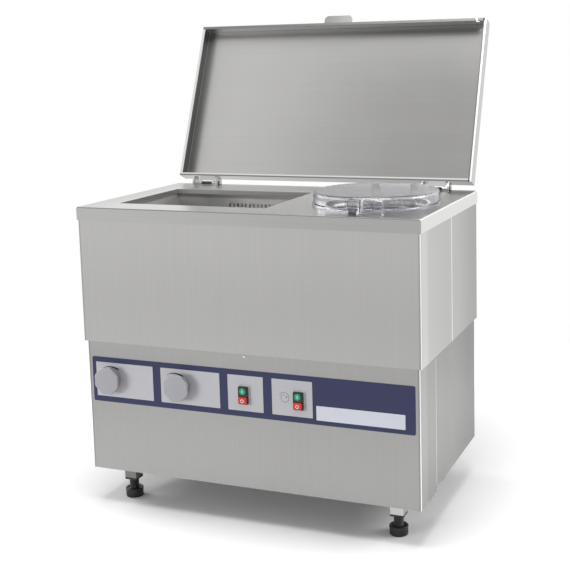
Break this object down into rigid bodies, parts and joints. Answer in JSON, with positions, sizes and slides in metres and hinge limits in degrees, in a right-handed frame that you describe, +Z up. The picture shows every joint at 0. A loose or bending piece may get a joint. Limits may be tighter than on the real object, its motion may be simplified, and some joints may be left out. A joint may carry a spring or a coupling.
{
  "type": "vegetable washing machine",
  "caption": "Floor-standing stainless vegetable washer and spin dryer with open steel lid, clear round cover, control strip and screw feet.",
  "frame": {"origin": "on the floor, midway across the width and midway along the depth of the outline with the lid open", "axes": "+Z up, +Y to the back, +X to the right seen from the front"},
  "size_m": [1.05, 0.8624, 1.4544],
  "materials": {
    "satin_steel": "satin",
    "bare_steel": "satin",
    "clear_plastic": "clear",
    "dark_block": "matte",
    "black_plastic": "matte",
    "navy_print": "semi-gloss",
    "pale_print": "semi-gloss",
    "knob_grey": "matte",
    "pale_bezel": "matte",
    "green_plastic": "gloss",
    "red_plastic": "gloss"
  },
  "bodies": {
    "cabinet": {"worktop": "satin_steel", "upper_front_panel": "satin_steel", "upper_rear_panel": "satin_steel", "lower_front_panel": "satin_steel", "lower_rear_panel": "satin_steel", "floor_pan": "satin_steel", "corner_posts": "satin_steel", "post_inserts": "black_plastic", "foot_stems": "black_plastic", "foot_discs": "black_plastic", "wash_tank": "satin_steel", "wash_basket": "satin_steel", "dryer_casing": "satin_steel", "spin_drum": "satin_steel", "drum_spindle": "bare_steel", "dryer_collar": "satin_steel", "cover_ears": "bare_steel", "lid_ears": "bare_steel", "control_strip": "navy_print", "window_plates": "pale_print", "name_bar": "pale_print", "knob_shafts": "bare_steel", "button_bezels": "pale_bezel", "button_housings": "black_plastic"},
    "lid": {"lid_shell": "satin_steel", "lid_grip": "satin_steel", "lid_knuckles": "bare_steel"},
    "dryer_cover": {"clear_cover": "clear_plastic", "cover_magnet": "dark_block", "cover_knuckles": "bare_steel"},
    "left_knob": {"knob_left": "knob_grey"},
    "right_knob": {"knob_right": "knob_grey"},
    "left_green": {"green_button_left": "green_plastic"},
    "right_green": {"green_button_right": "green_plastic"},
    "left_red": {"red_button_left": "red_plastic"},
    "right_red": {"red_button_right": "red_plastic"}
  },
  "joints": [
    {"name": "lid_hinge", "type": "hinge", "parent": "cabinet", "child": "lid", "pos_m": [0, 0.1687, 0.906], "axis": [-1, 0, 0], "range_deg": [-112.8, 0]},
    {"name": "cover_hinge", "type": "hinge", "parent": "cabinet", "child": "dryer_cover", "pos_m": [0.313, 0.0347, 0.914], "axis": [-1, 0, 0], "range_deg": [0, 85]},
    {"name": "left_knob_turn", "type": "hinge", "parent": "cabinet", "child": "left_knob", "pos_m": [-0.436, -0.3986, 0.389], "axis": [0, -1, 0], "range_deg": [-90, 90]},
    {"name": "right_knob_turn", "type": "hinge", "parent": "cabinet", "child": "right_knob", "pos_m": [-0.205, -0.3986, 0.389], "axis": [0, -1, 0], "range_deg": [-90, 90]},
    {"name": "left_green_press", "type": "slide", "parent": "cabinet", "child": "left_green", "axis": [0, 1, 0], "range_m": [0, 0.003], "stiffness_N_per_m": 600},
    {"name": "right_green_press", "type": "slide", "parent": "cabinet", "child": "right_green", "axis": [0, 1, 0], "range_m": [0, 0.003], "stiffness_N_per_m": 600},
    {"name": "left_red_press", "type": "slide", "parent": "cabinet", "child": "left_red", "axis": [0, 1, 0], "range_m": [0, 0.003], "stiffness_N_per_m": 600},
    {"name": "right_red_press", "type": "slide", "parent": "cabinet", "child": "right_red", "axis": [0, 1, 0], "range_m": [0, 0.003], "stiffness_N_per_m": 600}
  ]
}
